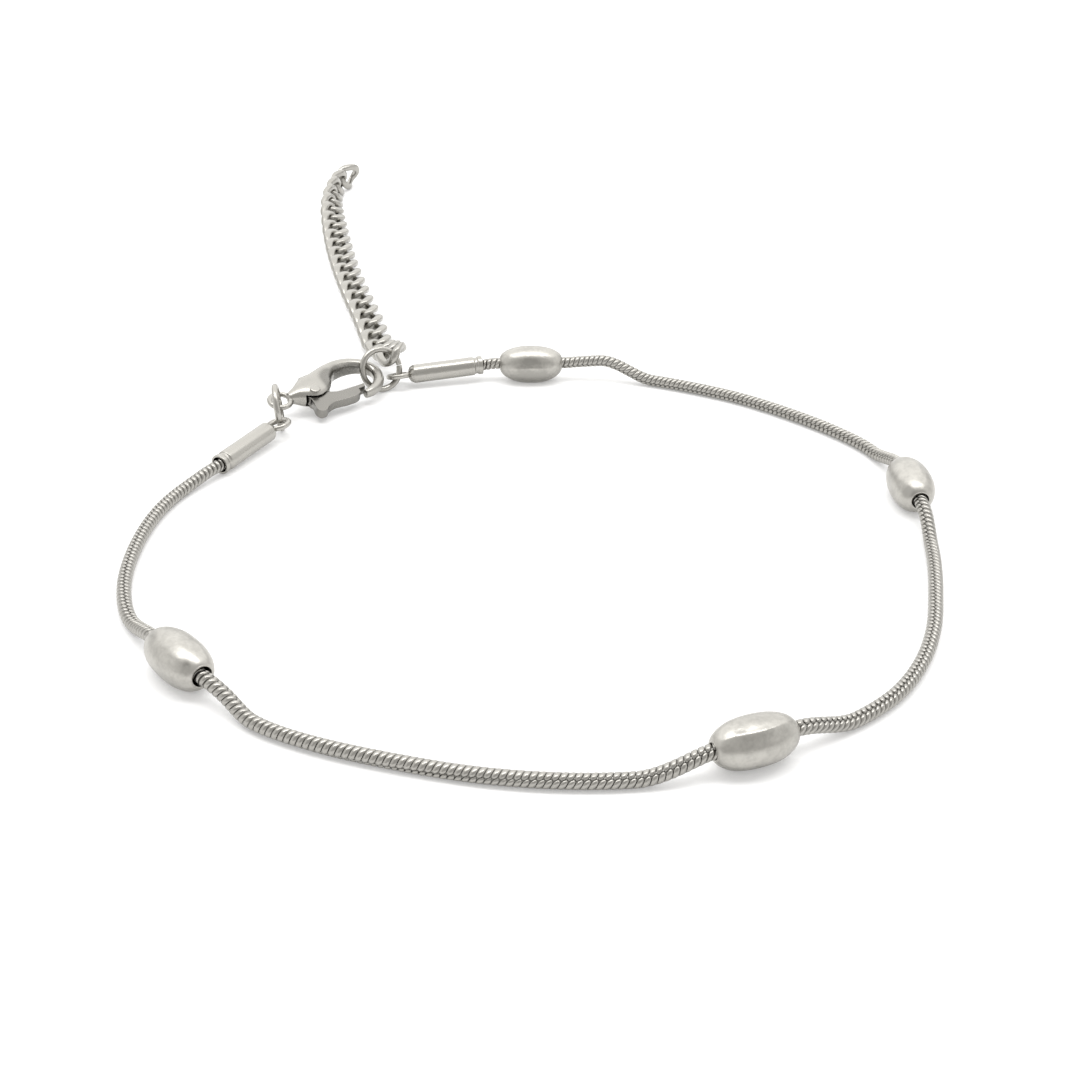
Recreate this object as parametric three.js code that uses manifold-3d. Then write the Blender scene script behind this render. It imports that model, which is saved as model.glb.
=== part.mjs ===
// A slim bracelet lying closed on a table: one snake chain through four nugget beads,
// tube end caps, two jump rings, a lobster clasp with a sprung lever, and a curb extension chain.
// Millimetres, +Z up. The origin is the middle of the bounding box, on the table.
// Plan positions are about the middle of the wrist loop, which LOOP_CENTRE puts in the part's frame.

import * as THREE from "three";
import { mergeVertices } from "three/addons/utils/BufferGeometryUtils.js";
import Module from "manifold-3d";

const wasm = await Module();
wasm.setup();

// ---------------------------------------------------------------- driving dimensions

const LOOP_CENTRE = new THREE.Vector2(-0.38, -27.066);

// A short table whose columns have names: one object for each row.
const table = (columns, rows) =>
  rows.map((row) => Object.fromEntries(columns.map((column, i) => [column, row[i]])));

const CHAIN = { radius: 0.5, height: 0.51, sides: 8, steps: 78, rise: 4.6, endGap: 0.4 };

// A nugget before its facets: belly is how far it would reach below its axis without the flat
// it rests on, as a share of its half height.
const BEAD = {
  halfLength: 2.68, halfWidth: 1.62, halfHeight: 1.55, belly: 1.14,
  rim: 0.74, bore: 0.62, blunt: 2.3, fullness: 0.72, sides: 20, stations: 11,
};

// What is worn off a nugget (or stands proud, below zero): depth, middle and spread in degrees
// round the chain from the side away from the wrist, and middle and spread along it from -1 to 1.
const BEAD_RELIEF = table(["depth", "middle", "spread", "along", "reach"], [
  [0.2, 38, 17, 0.1, 0.75], // groove along the outer side
  [-0.1, 63, 13, 0, 0.8], // ridge above the groove
  [0.16, 86, 24, -0.35, 0.35], // dent in the top
  [0.05, 112, 40, 0.3, 0.6], // shallow hollow behind it
  [0.1, 165, 26, 0.1, 0.7], // facet towards the wrist
  [0.12, -62, 20, -0.2, 0.7], // facet under the outer side
]);

// Beads in order along the chain: middle of the bead, heading of the chain in it, and how far
// the relief is turned round the chain.
const BEADS = table(["name", "at", "heading", "turn"], [
  ["bead_left", [-22.03, -16.97], -47, 24],
  ["bead_front", [12.56, -25.05], 22.5, 0],
  ["bead_right", [27.93, 5.4], 94, 20],
  ["bead_back", [-0.5, 27.1], 181, 118],
]);

// The chain's way over the table between the beads, as plan points. Stretch i ends at bead i.
const STRETCHES = [
  [
    [-25.45, 8.2], [-26.9, 5.7], [-27.9, 2.4], [-28.3, -2.0],
    [-28.0, -6.6], [-26.9, -10.5], [-25.5, -12.8],
  ],
  [
    [-18.5, -20.35], [-16.5, -22.2], [-13.0, -24.0], [-8.0, -25.7],
    [-3.0, -26.9], [2.0, -27.4], [6.0, -27.25], [8.3, -26.8],
  ],
  [
    [17.0, -23.0], [19.4, -21.6], [22.0, -19.3], [24.2, -16.1],
    [25.8, -12.4], [26.9, -8.2], [27.8, -3.6], [28.2, 0.4],
  ],
  [
    [27.35, 10.3], [26.25, 13.2], [24.2, 16.0], [21.0, 19.2],
    [17.2, 22.2], [13.2, 24.4], [9.2, 26.05], [5.7, 27.0],
  ],
];

// Before it goes into the back bead the chain stands up off the table for a short way, whose
// ends these are in plan, with the height of its axis at each.
const ARCH = { from: [5.7, 27.0], to: [2.2, 27.05], low: 1.82, high: 1.55 };

// End caps, measured from the mouth of the tube: its bore, a collar groove near the mouth, the
// end of the straight tube, the top of its dome and the middle of its eye.
const CAP = { radius: 0.8, bore: 0.62, boreDepth: 4.2, tube: 6.0, dome: 6.5, eye: 7.32, sides: 16 };
const COLLAR = { start: 0.35, end: 0.75, bevel: 0.1, depth: 0.1 };
const EYE = { radius: 0.86, wire: 0.23 };

// Mouth of each cap, heading from the mouth to the eye, heights of the axis at the mouth and at
// the eye, and the turn of the eye about the tube.
const CAPS = table(["name", "mouth", "heading", "low", "high", "turn"], [
  ["end_cap_left", [-24.47, 9.61], 60.5, 0.85, 1.15, -12],
  ["end_cap_right", [-4.76, 27.17], 193, 1.35, 1.05, 21],
]);

// Jump rings stand on their edge: where the wire touches the table, the heading of the ring's
// plane, and how far its top leans to the left of that heading.
const RING = { radius: 1.7, wire: 0.26, lift: 0.28 };
const JUMP_RINGS = table(["name", "foot", "heading", "lean"], [
  ["jump_ring_left", [-20.85, 17.45], 99, 5],
  ["jump_ring_right", [-13.04, 24.6], 30, 21],
]);

// The clasp lies along its own +X from the middle of its eye, and its side away from the wrist
// stands higher by its roll.
const CLASP = {
  at: [-21.13, 19.22], heading: 38, pitch: -0.4, roll: 16, eyeHeight: 1.7, pivot: [2.8, -0.75],
};

// Sections of the claw from its eye round the hook to the tip.
const CLAW_SIDES = 12;
const CLAW = table(["along", "across", "halfWidth", "halfThickness"], [
  [0.75, 0.0, 0.4, 0.42],
  [1.4, 0.0, 0.72, 0.68],
  [2.1, 0.0, 1.2, 0.9],
  [2.9, 0.08, 1.58, 1.0],
  [3.7, 0.42, 1.42, 1.0],
  [4.5, 1.02, 0.95, 0.98],
  [5.5, 1.55, 0.66, 0.92],
  [6.8, 1.75, 0.56, 0.84],
  [8.0, 1.5, 0.5, 0.72],
  [8.9, 0.85, 0.48, 0.62],
  [9.25, 0.0, 0.48, 0.53],
  [9.0, -0.93, 0.47, 0.52],
  [8.35, -1.62, 0.43, 0.5],
  [7.6, -2.0, 0.37, 0.48],
  [6.95, -2.12, 0.28, 0.38],
]);

// The lever turns on a pin across a slot in the claw.
const LEVER = { halfThickness: 0.42, hole: 0.48, holeSides: 16, boss: 0.74 };
const SLOT = { halfGap: 0.56, length: 3.4, width: 2.6, ahead: 0.8, aside: -0.4 };
const PIN = { radius: 0.35, length: 1.5 };

// The lever's outline after its boss, along and across the clasp: round the thumb tab and out
// along the outer edge, over the tip, and back along the inner edge.
const LEVER_OUTLINE = {
  tabAndEdge: [
    [2.15, -1.75], [2.0, -2.55], [2.2, -2.95], [2.7, -2.95], [3.15, -2.58],
    [3.9, -2.36], [5.0, -2.42], [6.0, -2.36], [6.45, -2.14],
  ],
  tip: [[6.55, -1.66], [7.2, -1.6], [7.3, -1.22]],
  innerEdge: [[6.0, -1.27], [4.6, -1.24], [3.7, -0.8]],
};
// The lever's boss is round but for where the edges leave it, in degrees.
const BOSS_ARC = { innerEdge: 30, crown: 140, tab: 215 };

// Curb links: neighbours that are soldered in one stretch touch, and stretches hang free.
const LINK = { length: 3.7, width: 2.7, wire: 0.33, twist: 0.45, sides: 6, segments: 14 };
const LINK_PITCH = { joined: 2.62, free: 2.2, fromRing: 0.12 };
const LINKS_IN_STRETCH = [3, 3, 3, 3, 3, 4, 4];

// The extension chain's way: plan place, height of its middle, and the turn of its links
// from lying flat to standing on edge.
const EXTENSION = table(["x", "y", "z", "turn"], [
  [-12.32, 26.13, 2.78, -30],
  [-12.88, 28.15, 2.2, -20],
  [-13.6, 30.3, 1.5, -8],
  [-14.4, 32.9, 0.9, 0],
  [-15.8, 38.5, 0.8, 0],
  [-17.45, 44.4, 0.8, 0],
  [-19.3, 51.5, 0.8, 0],
  [-20.8, 58.2, 0.8, 0],
  [-21.95, 64.2, 0.98, 15],
  [-22.85, 69.8, 1.26, 40],
  [-23.15, 74.8, 1.42, 70],
  [-22.8, 78.8, 1.45, 90],
  [-21.6, 81.1, 1.45, 90],
  [-19.7, 80.9, 1.45, 90],
]);

// ---------------------------------------------------------------- helpers

const radians = THREE.MathUtils.degToRad;

function metal(color, roughness) {
  return new THREE.MeshStandardMaterial({ color, roughness, metalness: 1 });
}

const FINISH = {
  chain: metal(0xb9b5ad, 0.34),
  bead: metal(0xcfccc4, 0.42),
  fitting: metal(0xc4c0b8, 0.3),
};

function pieceOf(name, geometry, finish) {
  const mesh = new THREE.Mesh(geometry, finish);
  mesh.name = name;
  return mesh;
}

function indexed(geometry) {
  const bare = geometry.clone();
  for (const name of Object.keys(bare.attributes)) {
    if (name !== "position") bare.deleteAttribute(name);
  }
  return mergeVertices(bare, 1e-4);
}

function solid(geometry) {
  const welded = indexed(geometry);
  const mesh = new wasm.Mesh({
    numProp: 3,
    vertProperties: new Float32Array(welded.attributes.position.array),
    triVerts: new Uint32Array(welded.index.array),
  });
  return new wasm.Manifold(mesh);
}

function geometryOf(manifold) {
  const mesh = manifold.getMesh();
  const geometry = new THREE.BufferGeometry();
  geometry.setAttribute("position", new THREE.BufferAttribute(new Float32Array(mesh.vertProperties), 3));
  geometry.setIndex(new THREE.BufferAttribute(new Uint32Array(mesh.triVerts), 1));
  return geometry;
}

// Joins rings of points, each with the same count, into one closed skin. The last ring meets the
// first one where the solid has a hole through it, and otherwise both ends close on a middle point.
function skin(rings, through) {
  const count = rings[0].length;
  const positions = rings.flat().flatMap((point) => point.toArray());
  const index = [];
  const links = through ? rings.length : rings.length - 1;
  for (let i = 0; i < links; i++) {
    const here = i * count;
    const next = ((i + 1) % rings.length) * count;
    for (let j = 0; j < count; j++) {
      const k = (j + 1) % count;
      index.push(here + j, next + j, next + k, here + j, next + k, here + k);
    }
  }
  if (!through) {
    const ends = [[rings[0], 0], [rings[rings.length - 1], (rings.length - 1) * count]];
    ends.forEach(([ring, start], end) => {
      const middle = ring.reduce((sum, point) => sum.add(point), new THREE.Vector3()).divideScalar(count);
      const hub = positions.length / 3;
      positions.push(...middle.toArray());
      for (let j = 0; j < count; j++) {
        const k = (j + 1) % count;
        if (end === 0) index.push(hub, start + j, start + k);
        else index.push(hub, start + k, start + j);
      }
    });
  }
  const geometry = new THREE.BufferGeometry();
  geometry.setAttribute("position", new THREE.Float32BufferAttribute(positions, 3));
  geometry.setIndex(index);
  return outward(geometry);
}

// Turns every face round if the skin encloses a negative volume.
function outward(geometry) {
  const { position } = geometry.attributes;
  const index = geometry.index.array;
  const [a, b, c] = [0, 1, 2].map(() => new THREE.Vector3());
  let volume = 0;
  for (let i = 0; i < index.length; i += 3) {
    a.fromBufferAttribute(position, index[i]);
    b.fromBufferAttribute(position, index[i + 1]);
    c.fromBufferAttribute(position, index[i + 2]);
    volume += a.dot(b.cross(c));
  }
  if (volume < 0) {
    for (let i = 0; i < index.length; i += 3) [index[i], index[i + 1]] = [index[i + 1], index[i]];
  }
  return geometry;
}

// Stands a piece whose own +X runs along it: heading in plan, pitch up, then turned about itself.
function place(object, at, heading, pitch = 0, turn = 0) {
  object.position.set(...at);
  object.rotation.set(radians(turn), -radians(pitch), radians(heading), "ZYX");
  return object;
}

function ahead(at, heading, distance) {
  return [at[0] + distance * Math.cos(radians(heading)), at[1] + distance * Math.sin(radians(heading))];
}

const smooth = (t) => THREE.MathUtils.smoothstep(t, 0, 1);

// ---------------------------------------------------------------- snake chain

// Plan points of the whole chain. It runs straight through each bead and each cap.
function chainPlan() {
  const [left, right] = CAPS;
  const depth = CAP.boreDepth - CHAIN.endGap;
  const points = [ahead(left.mouth, left.heading, depth), left.mouth];
  BEADS.forEach((bead, i) => {
    points.push(...STRETCHES[i]);
    for (const step of [-1, 0, 1]) points.push(ahead(bead.at, bead.heading, step * BEAD.halfLength));
  });
  points.push(right.mouth, ahead(right.mouth, right.heading, depth));
  return points;
}

// The straight lengths of the chain that are off the table, in its arch, the beads and the caps:
// both ends in plan, and the height of the axis at each.
const RAISED = [
  ARCH,
  ...BEADS.map(({ at, heading }) => ({
    from: ahead(at, heading, -BEAD.halfLength),
    to: ahead(at, heading, BEAD.halfLength),
    low: BEAD.halfHeight,
    high: BEAD.halfHeight,
  })),
  ...CAPS.map(({ mouth, heading, low, high }) => ({
    from: mouth,
    to: ahead(mouth, heading, CAP.boreDepth),
    low,
    high: low + ((high - low) * CAP.boreDepth) / CAP.eye,
  })),
];

// Height of the chain's axis: as given on a raised length, and down to the table within CHAIN.rise.
function chainHeight(point) {
  const heights = RAISED.map(({ from, to, low, high }) => {
    const start = new THREE.Vector3(...from, 0);
    const raised = new THREE.Line3(start, new THREE.Vector3(...to, 0));
    const t = raised.closestPointToPointParameter(point, true);
    const away = raised.at(t, new THREE.Vector3()).distanceTo(point);
    const lift = THREE.MathUtils.lerp(low, high, t) - CHAIN.height;
    return CHAIN.height + lift * smooth(1 - away / CHAIN.rise);
  });
  return Math.max(...heights);
}

function snakeChain() {
  const plan = new THREE.CatmullRomCurve3(chainPlan().map(([x, y]) => new THREE.Vector3(x, y, 0)));
  plan.arcLengthDivisions = 2000;
  const axis = plan.getSpacedPoints(CHAIN.steps).map((p) => new THREE.Vector3(p.x, p.y, chainHeight(p)));
  const route = new THREE.CatmullRomCurve3(axis);
  route.arcLengthDivisions = 2000;
  const corners = [];
  for (let i = 0; i < CHAIN.sides; i++) {
    const angle = (2 * Math.PI * i) / CHAIN.sides;
    corners.push(new THREE.Vector2(Math.cos(angle), Math.sin(angle)).multiplyScalar(CHAIN.radius));
  }
  const section = new THREE.Shape(corners);
  const tube = new THREE.ExtrudeGeometry(section, { steps: CHAIN.steps, extrudePath: route });
  return pieceOf("snake_chain", indexed(tube), FINISH.chain);
}

// ---------------------------------------------------------------- beads

// Distance from the chain's axis to the skin of a bead, at s from -1 to 1 along it and
// an angle round it from the side away from the wrist, before the flat it rests on.
function beadReach(s, angle, turn) {
  const swell = Math.pow(1 - Math.pow(Math.abs(s), BEAD.blunt), BEAD.fullness);
  const tall = BEAD.halfHeight * (Math.sin(angle) < 0 ? BEAD.belly : 1);
  const width = BEAD.rim + (BEAD.halfWidth - BEAD.rim) * swell;
  const height = BEAD.rim + (tall - BEAD.rim) * swell;
  const round = 1 / Math.hypot(Math.cos(angle) / width, Math.sin(angle) / height);
  const worn = BEAD_RELIEF.reduce((sum, { depth, middle, spread, along, reach }) => {
    const off = angle - radians(middle + turn);
    const apart = Math.atan2(Math.sin(off), Math.cos(off)) / radians(spread);
    return sum + depth * Math.exp(-(apart ** 2) - ((s - along) / reach) ** 2);
  }, 0);
  return round - swell * worn;
}

function bead({ name, at, heading, turn }) {
  const ring = (x, reach) => {
    const points = [];
    for (let j = 0; j < BEAD.sides; j++) {
      const angle = (2 * Math.PI * j) / BEAD.sides;
      const r = reach(angle);
      const z = Math.max(r * Math.sin(angle), -BEAD.halfHeight);
      points.push(new THREE.Vector3(x, -r * Math.cos(angle), z));
    }
    return points;
  };
  const rings = [];
  for (let i = 0; i < BEAD.stations; i++) {
    const s = -Math.cos((Math.PI * i) / (BEAD.stations - 1));
    rings.push(ring(s * BEAD.halfLength, (angle) => beadReach(s, angle, turn)));
  }
  rings.push(ring(BEAD.halfLength, () => BEAD.bore), ring(-BEAD.halfLength, () => BEAD.bore));
  const mesh = pieceOf(name, skin(rings, true), FINISH.bead);
  return place(mesh, [...at, BEAD.halfHeight], heading);
}

// ---------------------------------------------------------------- end caps and rings

function eye() {
  return new THREE.TorusGeometry(EYE.radius, EYE.wire, 8, 18);
}

function endCap({ name, mouth, heading, low, high, turn }) {
  const { radius, bore, boreDepth, tube, dome } = CAP;
  const neck = radius - COLLAR.depth;
  const profile = [
    [0, boreDepth], [bore, boreDepth], [bore, 0], [radius, 0],
    [radius, COLLAR.start], [neck, COLLAR.start + COLLAR.bevel],
    [neck, COLLAR.end - COLLAR.bevel], [radius, COLLAR.end],
    [radius, tube], [radius * 0.75, (tube + 2 * dome) / 3], [radius * 0.35, dome], [0, dome],
  ].map(([r, along]) => new THREE.Vector2(r, along));
  const barrel = indexed(new THREE.LatheGeometry(profile, CAP.sides)).rotateZ(-Math.PI / 2);
  const joined = solid(outward(barrel)).add(solid(eye().translate(CAP.eye, 0, 0)));
  const pitch = THREE.MathUtils.radToDeg(Math.atan2(high - low, CAP.eye));
  return place(pieceOf(name, geometryOf(joined), FINISH.fitting), [...mouth, low], heading, pitch, turn);
}

function jumpRing({ name, foot, heading, lean }) {
  const ring = new THREE.TorusGeometry(RING.radius, RING.wire, 8, 24);
  const height = RING.lift + RING.radius * Math.cos(radians(lean));
  const middle = ahead(foot, heading + 90, RING.radius * Math.sin(radians(lean)));
  const mesh = pieceOf(name, indexed(ring), FINISH.fitting);
  return place(mesh, [...middle, height], heading, 0, 90 - lean);
}

// ---------------------------------------------------------------- clasp

function claw() {
  const curve = (point) => new THREE.CatmullRomCurve3(CLAW.map(point));
  const middles = curve(({ along, across }) => new THREE.Vector3(along, across, 0));
  const sizes = curve(({ halfWidth, halfThickness }) => new THREE.Vector3(halfWidth, halfThickness, 0));
  const rings = [];
  const count = 2 * (CLAW.length - 1);
  for (let i = 0; i <= count; i++) {
    const middle = middles.getPoint(i / count);
    const way = middles.getTangent(i / count);
    const size = sizes.getPoint(i / count);
    const side = new THREE.Vector3(-way.y, way.x, 0);
    const ring = [];
    for (let j = 0; j < CLAW_SIDES; j++) {
      const angle = (2 * Math.PI * (j + 0.5)) / CLAW_SIDES;
      const point = middle.clone().addScaledVector(side, size.x * Math.cos(angle));
      point.z = size.y * Math.sin(angle);
      ring.push(point);
    }
    rings.push(ring);
  }
  return skin(rings, false);
}

function claspBody() {
  const [u, v] = CLASP.pivot;
  const slot = new THREE.BoxGeometry(SLOT.length, SLOT.width, 2 * SLOT.halfGap);
  slot.translate(u + SLOT.ahead, v + SLOT.aside, 0);
  const pin = new THREE.CylinderGeometry(PIN.radius, PIN.radius, PIN.length, LEVER.holeSides);
  pin.rotateX(Math.PI / 2).translate(u, v, 0);
  const body = solid(claw()).subtract(solid(slot)).add(solid(pin)).add(solid(eye()));
  return pieceOf("clasp_body", geometryOf(body), FINISH.fitting);
}

function claspLever() {
  const [u, v] = CLASP.pivot;
  const { boss, hole, holeSides, halfThickness } = LEVER;
  const spline = (points) => points.map((point) => new THREE.Vector2(...point));
  const outline = new THREE.Shape();
  outline.moveTo(...ahead([u, v], BOSS_ARC.crown, boss));
  outline.absarc(u, v, boss, radians(BOSS_ARC.crown), radians(BOSS_ARC.tab), false);
  outline.splineThru(spline(LEVER_OUTLINE.tabAndEdge));
  for (const point of LEVER_OUTLINE.tip) outline.lineTo(...point);
  outline.splineThru(spline(LEVER_OUTLINE.innerEdge));
  outline.absarc(u, v, boss, radians(BOSS_ARC.innerEdge), radians(BOSS_ARC.crown), false);
  const rim = Array.from({ length: holeSides }, (_, i) => ahead([u, v], (-360 * i) / holeSides, hole));
  outline.holes.push(new THREE.Path().setFromPoints(spline(rim)));
  const plate = new THREE.ExtrudeGeometry(outline, {
    depth: 2 * halfThickness,
    bevelEnabled: false,
    curveSegments: 3,
  });
  plate.translate(0, 0, -halfThickness);
  return pieceOf("clasp_lever", indexed(plate), FINISH.fitting);
}

// ---------------------------------------------------------------- extension chain

// One curb link along +X. Its wire runs round an oval and rises and dips twice on the way.
function link() {
  const { length, width, wire, twist, sides, segments } = LINK;
  const a = length / 2 - wire;
  const b = width / 2 - wire;
  const rings = [];
  for (let i = 0; i < segments; i++) {
    const t = (2 * Math.PI * i) / segments;
    const middle = new THREE.Vector3(a * Math.cos(t), b * Math.sin(t), twist * Math.sin(2 * t));
    const way = new THREE.Vector3(-a * Math.sin(t), b * Math.cos(t), 2 * twist * Math.cos(2 * t));
    const side = new THREE.Vector3(0, 0, 1).cross(way).normalize();
    const up = way.clone().cross(side).normalize();
    const ring = [];
    for (let j = 0; j < sides; j++) {
      const angle = (2 * Math.PI * j) / sides;
      const point = middle.clone().addScaledVector(side, wire * Math.cos(angle));
      ring.push(point.addScaledVector(up, wire * Math.sin(angle)));
    }
    rings.push(ring);
  }
  return skin(rings, true);
}

// One link at a distance along the extension's way.
function linkAt(route, turns, along) {
  const t = route.getUtoTmapping(Math.min(along / route.getLength(), 1));
  const way = route.getTangent(t);
  const heading = THREE.MathUtils.radToDeg(Math.atan2(way.y, way.x));
  const pitch = THREE.MathUtils.radToDeg(Math.asin(way.z));
  const holder = new THREE.Object3D();
  place(holder, route.getPoint(t).toArray(), heading, pitch, turns.getPoint(t).x);
  holder.updateMatrix();
  return solid(link().applyMatrix4(holder.matrix));
}

function extensionChain() {
  const curve = (point) => new THREE.CatmullRomCurve3(EXTENSION.map(point));
  const route = curve(({ x, y, z }) => new THREE.Vector3(x, y, z));
  const turns = curve(({ turn }) => new THREE.Vector3(turn, 0, 0));
  let along = LINK.length / 2 - 2 * LINK.wire - RING.wire - LINK_PITCH.fromRing;
  return LINKS_IN_STRETCH.map((count, n) => {
    let stretch = linkAt(route, turns, along);
    for (let i = 1; i < count; i++) {
      along += LINK_PITCH.joined;
      stretch = stretch.add(linkAt(route, turns, along));
    }
    along += LINK_PITCH.free;
    return pieceOf(`extension_${n + 1}`, geometryOf(stretch), FINISH.chain);
  });
}

// ---------------------------------------------------------------- the bracelet

const loop = new THREE.Group();
loop.position.set(LOOP_CENTRE.x, LOOP_CENTRE.y, 0);
loop.add(snakeChain(), ...BEADS.map(bead), ...CAPS.map(endCap));

const clasp = new THREE.Group();
place(clasp, [...CLASP.at, CLASP.eyeHeight], CLASP.heading, CLASP.pitch, CLASP.roll);
clasp.add(claspBody(), claspLever());
loop.add(clasp);

loop.add(...JUMP_RINGS.map(jumpRing), ...extensionChain());

const bracelet = new THREE.Group();
bracelet.add(loop);

export default bracelet;
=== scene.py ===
"""A slim bracelet lying closed on a table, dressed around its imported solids.

One snake chain runs through four nugget beads into two end caps. Jump rings, a lobster clasp
with a sprung lever and a curb extension chain close it. Lengths are millimetres until a mesh is
made, and each mesh is in metres, in the frame of the solids.
"""

import bmesh
import bpy
import numpy as np
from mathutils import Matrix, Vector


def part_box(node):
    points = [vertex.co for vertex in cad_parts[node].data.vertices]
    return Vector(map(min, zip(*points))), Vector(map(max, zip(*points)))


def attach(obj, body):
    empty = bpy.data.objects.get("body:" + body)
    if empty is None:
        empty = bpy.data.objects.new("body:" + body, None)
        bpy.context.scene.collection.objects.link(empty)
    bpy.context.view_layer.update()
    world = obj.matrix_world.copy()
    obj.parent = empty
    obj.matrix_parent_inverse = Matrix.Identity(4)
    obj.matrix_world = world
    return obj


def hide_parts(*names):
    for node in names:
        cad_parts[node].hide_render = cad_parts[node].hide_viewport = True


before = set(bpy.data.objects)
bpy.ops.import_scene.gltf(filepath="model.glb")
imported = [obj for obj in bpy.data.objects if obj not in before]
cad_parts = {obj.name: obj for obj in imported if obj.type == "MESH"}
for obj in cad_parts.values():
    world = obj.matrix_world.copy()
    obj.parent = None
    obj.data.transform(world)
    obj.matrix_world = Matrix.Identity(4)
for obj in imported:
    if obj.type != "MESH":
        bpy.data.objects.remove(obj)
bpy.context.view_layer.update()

bl_info = {
    "name": "Snake Chain Bracelet",
    "version": (1, 0, 0),
    "blender": (4, 5, 0),
    "location": "3D View > Sidebar > Bracelet",
    "description": "Builds a snake chain bracelet with nugget beads around its packed solids",
    "category": "Add Mesh",
}

MM = 0.001
TAU = 2 * np.pi
BODY = "bracelet"
LEVER_BODY = "lever"

# ------------------------------------------------------------------ places, as in the solids

# Middle of the wrist loop in the frame of the solids. Plan places below are about it.
LOOP_CENTRE = np.array([-0.38, -27.066])

BEAD_HALF_LENGTH = 2.68
BEAD_AXIS_HEIGHT = 1.55

# Beads along the chain: middle, heading of the chain in it, turn of its relief round the chain.
BEADS = {
    "left": ((-22.03, -16.97), -47.0, 24.0),
    "front": ((12.56, -25.05), 22.5, 0.0),
    "right": ((27.93, 5.4), 94.0, 20.0),
    "back": ((-0.5, 27.1), 181.0, 118.0),
}

# The chain's way over the table between the beads. Stretch i ends at bead i.
STRETCHES = (
    (
        (-25.45, 8.2), (-26.9, 5.7), (-27.9, 2.4), (-28.3, -2.0),
        (-28.0, -6.6), (-26.9, -10.5), (-25.5, -12.8),
    ),
    (
        (-18.5, -20.35), (-16.5, -22.2), (-13.0, -24.0), (-8.0, -25.7),
        (-3.0, -26.9), (2.0, -27.4), (6.0, -27.25), (8.3, -26.8),
    ),
    (
        (17.0, -23.0), (19.4, -21.6), (22.0, -19.3), (24.2, -16.1),
        (25.8, -12.4), (26.9, -8.2), (27.8, -3.6), (28.2, 0.4),
    ),
    (
        (27.35, 10.3), (26.25, 13.2), (24.2, 16.0), (21.0, 19.2),
        (17.2, 22.2), (13.2, 24.4), (9.2, 26.05), (5.7, 27.0),
    ),
)

# Where the chain stands up off the table before the back bead: ends in plan, heights of its axis.
ARCH = ((5.7, 27.0), (2.2, 27.05), 1.82, 1.55)

# End caps: mouth, heading to the eye, height of the axis at mouth and eye, turn of the eye.
CAP_LENGTH = 7.32
CAP_BORE_DEPTH = 4.2
CHAIN_END_GAP = 0.4
CAPS = {
    "left": ((-24.47, 9.61), 60.5, 0.85, 1.15, -12.0),
    "right": ((-4.76, 27.17), 193.0, 1.35, 1.05, 21.0),
}

# Jump rings: gap over the table, and each ring's foot, heading of its plane and lean to the left.
RING_LIFT = 0.02
JUMP_RINGS = {"left": ((-20.85, 17.45), 99.0, 5.0), "right": ((-13.04, 24.6), 30.0, 21.0)}

# The clasp's own frame runs from the middle of its eye along the claw: its place, and its
# heading, pitch and turn. What follows is in that frame.
CLASP_PLACE = (-21.13, 19.22, 1.7)
CLASP_TURNS = (38.0, -0.4, 16.0)
CLASP_PIVOT = (2.8, -0.75)

# The lever's slot through the claw, from the pivot: its low and its high corner.
CLASP_SLOT = ((-0.9, -1.7, -0.56), (2.5, 0.9, 0.56))

# Posts at the pivot: radius, low end and high end. The hole goes through the lever.
PIVOT_PIN = (0.35, -0.75, 0.75)
PIVOT_HEADS = ((0.42, 0.8, 1.0), (0.42, -1.0, -0.8))
PIVOT_HOLE = (0.48, -0.6, 0.6)

# Middle line of the space that the hook closes. The steel round it has painted shade, darkest as
# near to the line as the first reach, and plain from the second on, for the shade inside the hook.
CLASP_WINDOW = ((4.9, 0.1, 0.0), (5.9, 0.2, 0.0), (6.9, 0.1, 0.0))
WINDOW_REACH = (1.15, 1.7)

# Sections of the claw from its eye round the hook: along, across, half width, half thickness.
CLAW = np.array([
    (0.75, 0.0, 0.4, 0.42),
    (1.4, 0.0, 0.72, 0.68),
    (2.1, 0.0, 1.2, 0.9),
    (2.9, 0.08, 1.58, 1.0),
    (3.7, 0.42, 1.42, 1.0),
    (4.5, 1.02, 0.95, 0.98),
    (5.5, 1.55, 0.66, 0.92),
    (6.8, 1.75, 0.56, 0.84),
    (8.0, 1.5, 0.5, 0.72),
    (8.9, 0.85, 0.48, 0.62),
    (9.25, 0.0, 0.48, 0.53),
    (9.0, -0.93, 0.47, 0.52),
    (8.35, -1.62, 0.43, 0.5),
    (7.6, -2.0, 0.37, 0.48),
    (6.95, -2.12, 0.28, 0.38),
])

# The lever's boss, the heights of its plate's rings, and its edge after the boss: round the
# thumb tab and along the outside, over the tip, and back inside.
LEVER_BOSS = 0.74
LEVER_LEVELS = (-0.42, -0.14, 0.14, 0.42)
LEVER_EDGE = (
    (2.15, -1.75), (2.0, -2.55), (2.2, -2.95), (2.7, -2.95), (3.15, -2.58),
    (3.9, -2.36), (5.0, -2.42), (6.0, -2.36), (6.45, -2.14),
)
LEVER_TIP = ((6.55, -1.66), (7.2, -1.6), (7.3, -1.22))
LEVER_INNER_EDGE = ((6.0, -1.27), (4.6, -1.24), (3.7, -0.8))

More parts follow.
